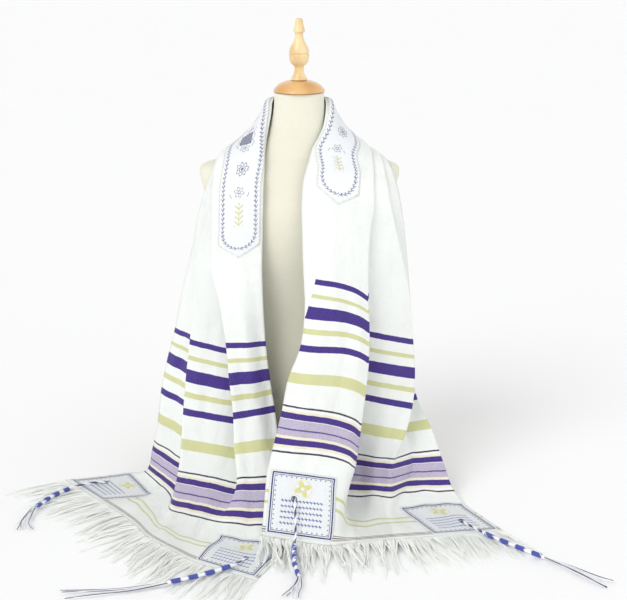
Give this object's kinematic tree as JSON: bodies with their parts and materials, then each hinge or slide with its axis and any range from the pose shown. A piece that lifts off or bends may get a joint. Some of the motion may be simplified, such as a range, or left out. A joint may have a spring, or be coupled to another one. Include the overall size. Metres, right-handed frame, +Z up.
{
  "type": "tallit prayer shawl on a limbless dress form",
  "caption": "Fringed striped prayer shawl with neckband, corner patches and corner tassels, hung round the neck of a limbless dress form that stands on its flat base.",
  "frame": {"origin": "middle of the form's flat base, on the surface that it stands on", "axes": "+Z up, -Y to the front of the form, +X to the viewer's right"},
  "size_m": [1.0423, 0.6541, 0.8476],
  "materials": {
    "cloth": "off-white woven cloth with purple, gold and black woven stripes",
    "band": "white satin band with grey-violet and gold ornament",
    "patch": "white satin with a navy double border",
    "fringe": "soft off-white twisted yarn",
    "cord": "blue and white wound cord",
    "linen": "natural linen cover",
    "cap_wood": "orange-tan varnished wood",
    "finial_wood": "pale varnished wood"
  },
  "bodies": {
    "root": {"shawl_cloth": "cloth", "atarah": "band", "corner_patch_left_front": "patch", "corner_patch_left_back": "patch", "corner_patch_right_front": "patch", "corner_patch_right_back": "patch", "fringe_left": "fringe", "fringe_right": "fringe", "tzitzit_left_front": "cord", "tzitzit_left_back": "cord", "tzitzit_right_front": "cord", "tzitzit_right_back": "cord", "dress_form_torso": "linen", "neck_cap": "cap_wood", "neck_finial": "finial_wood"}
  },
  "joints": []
}
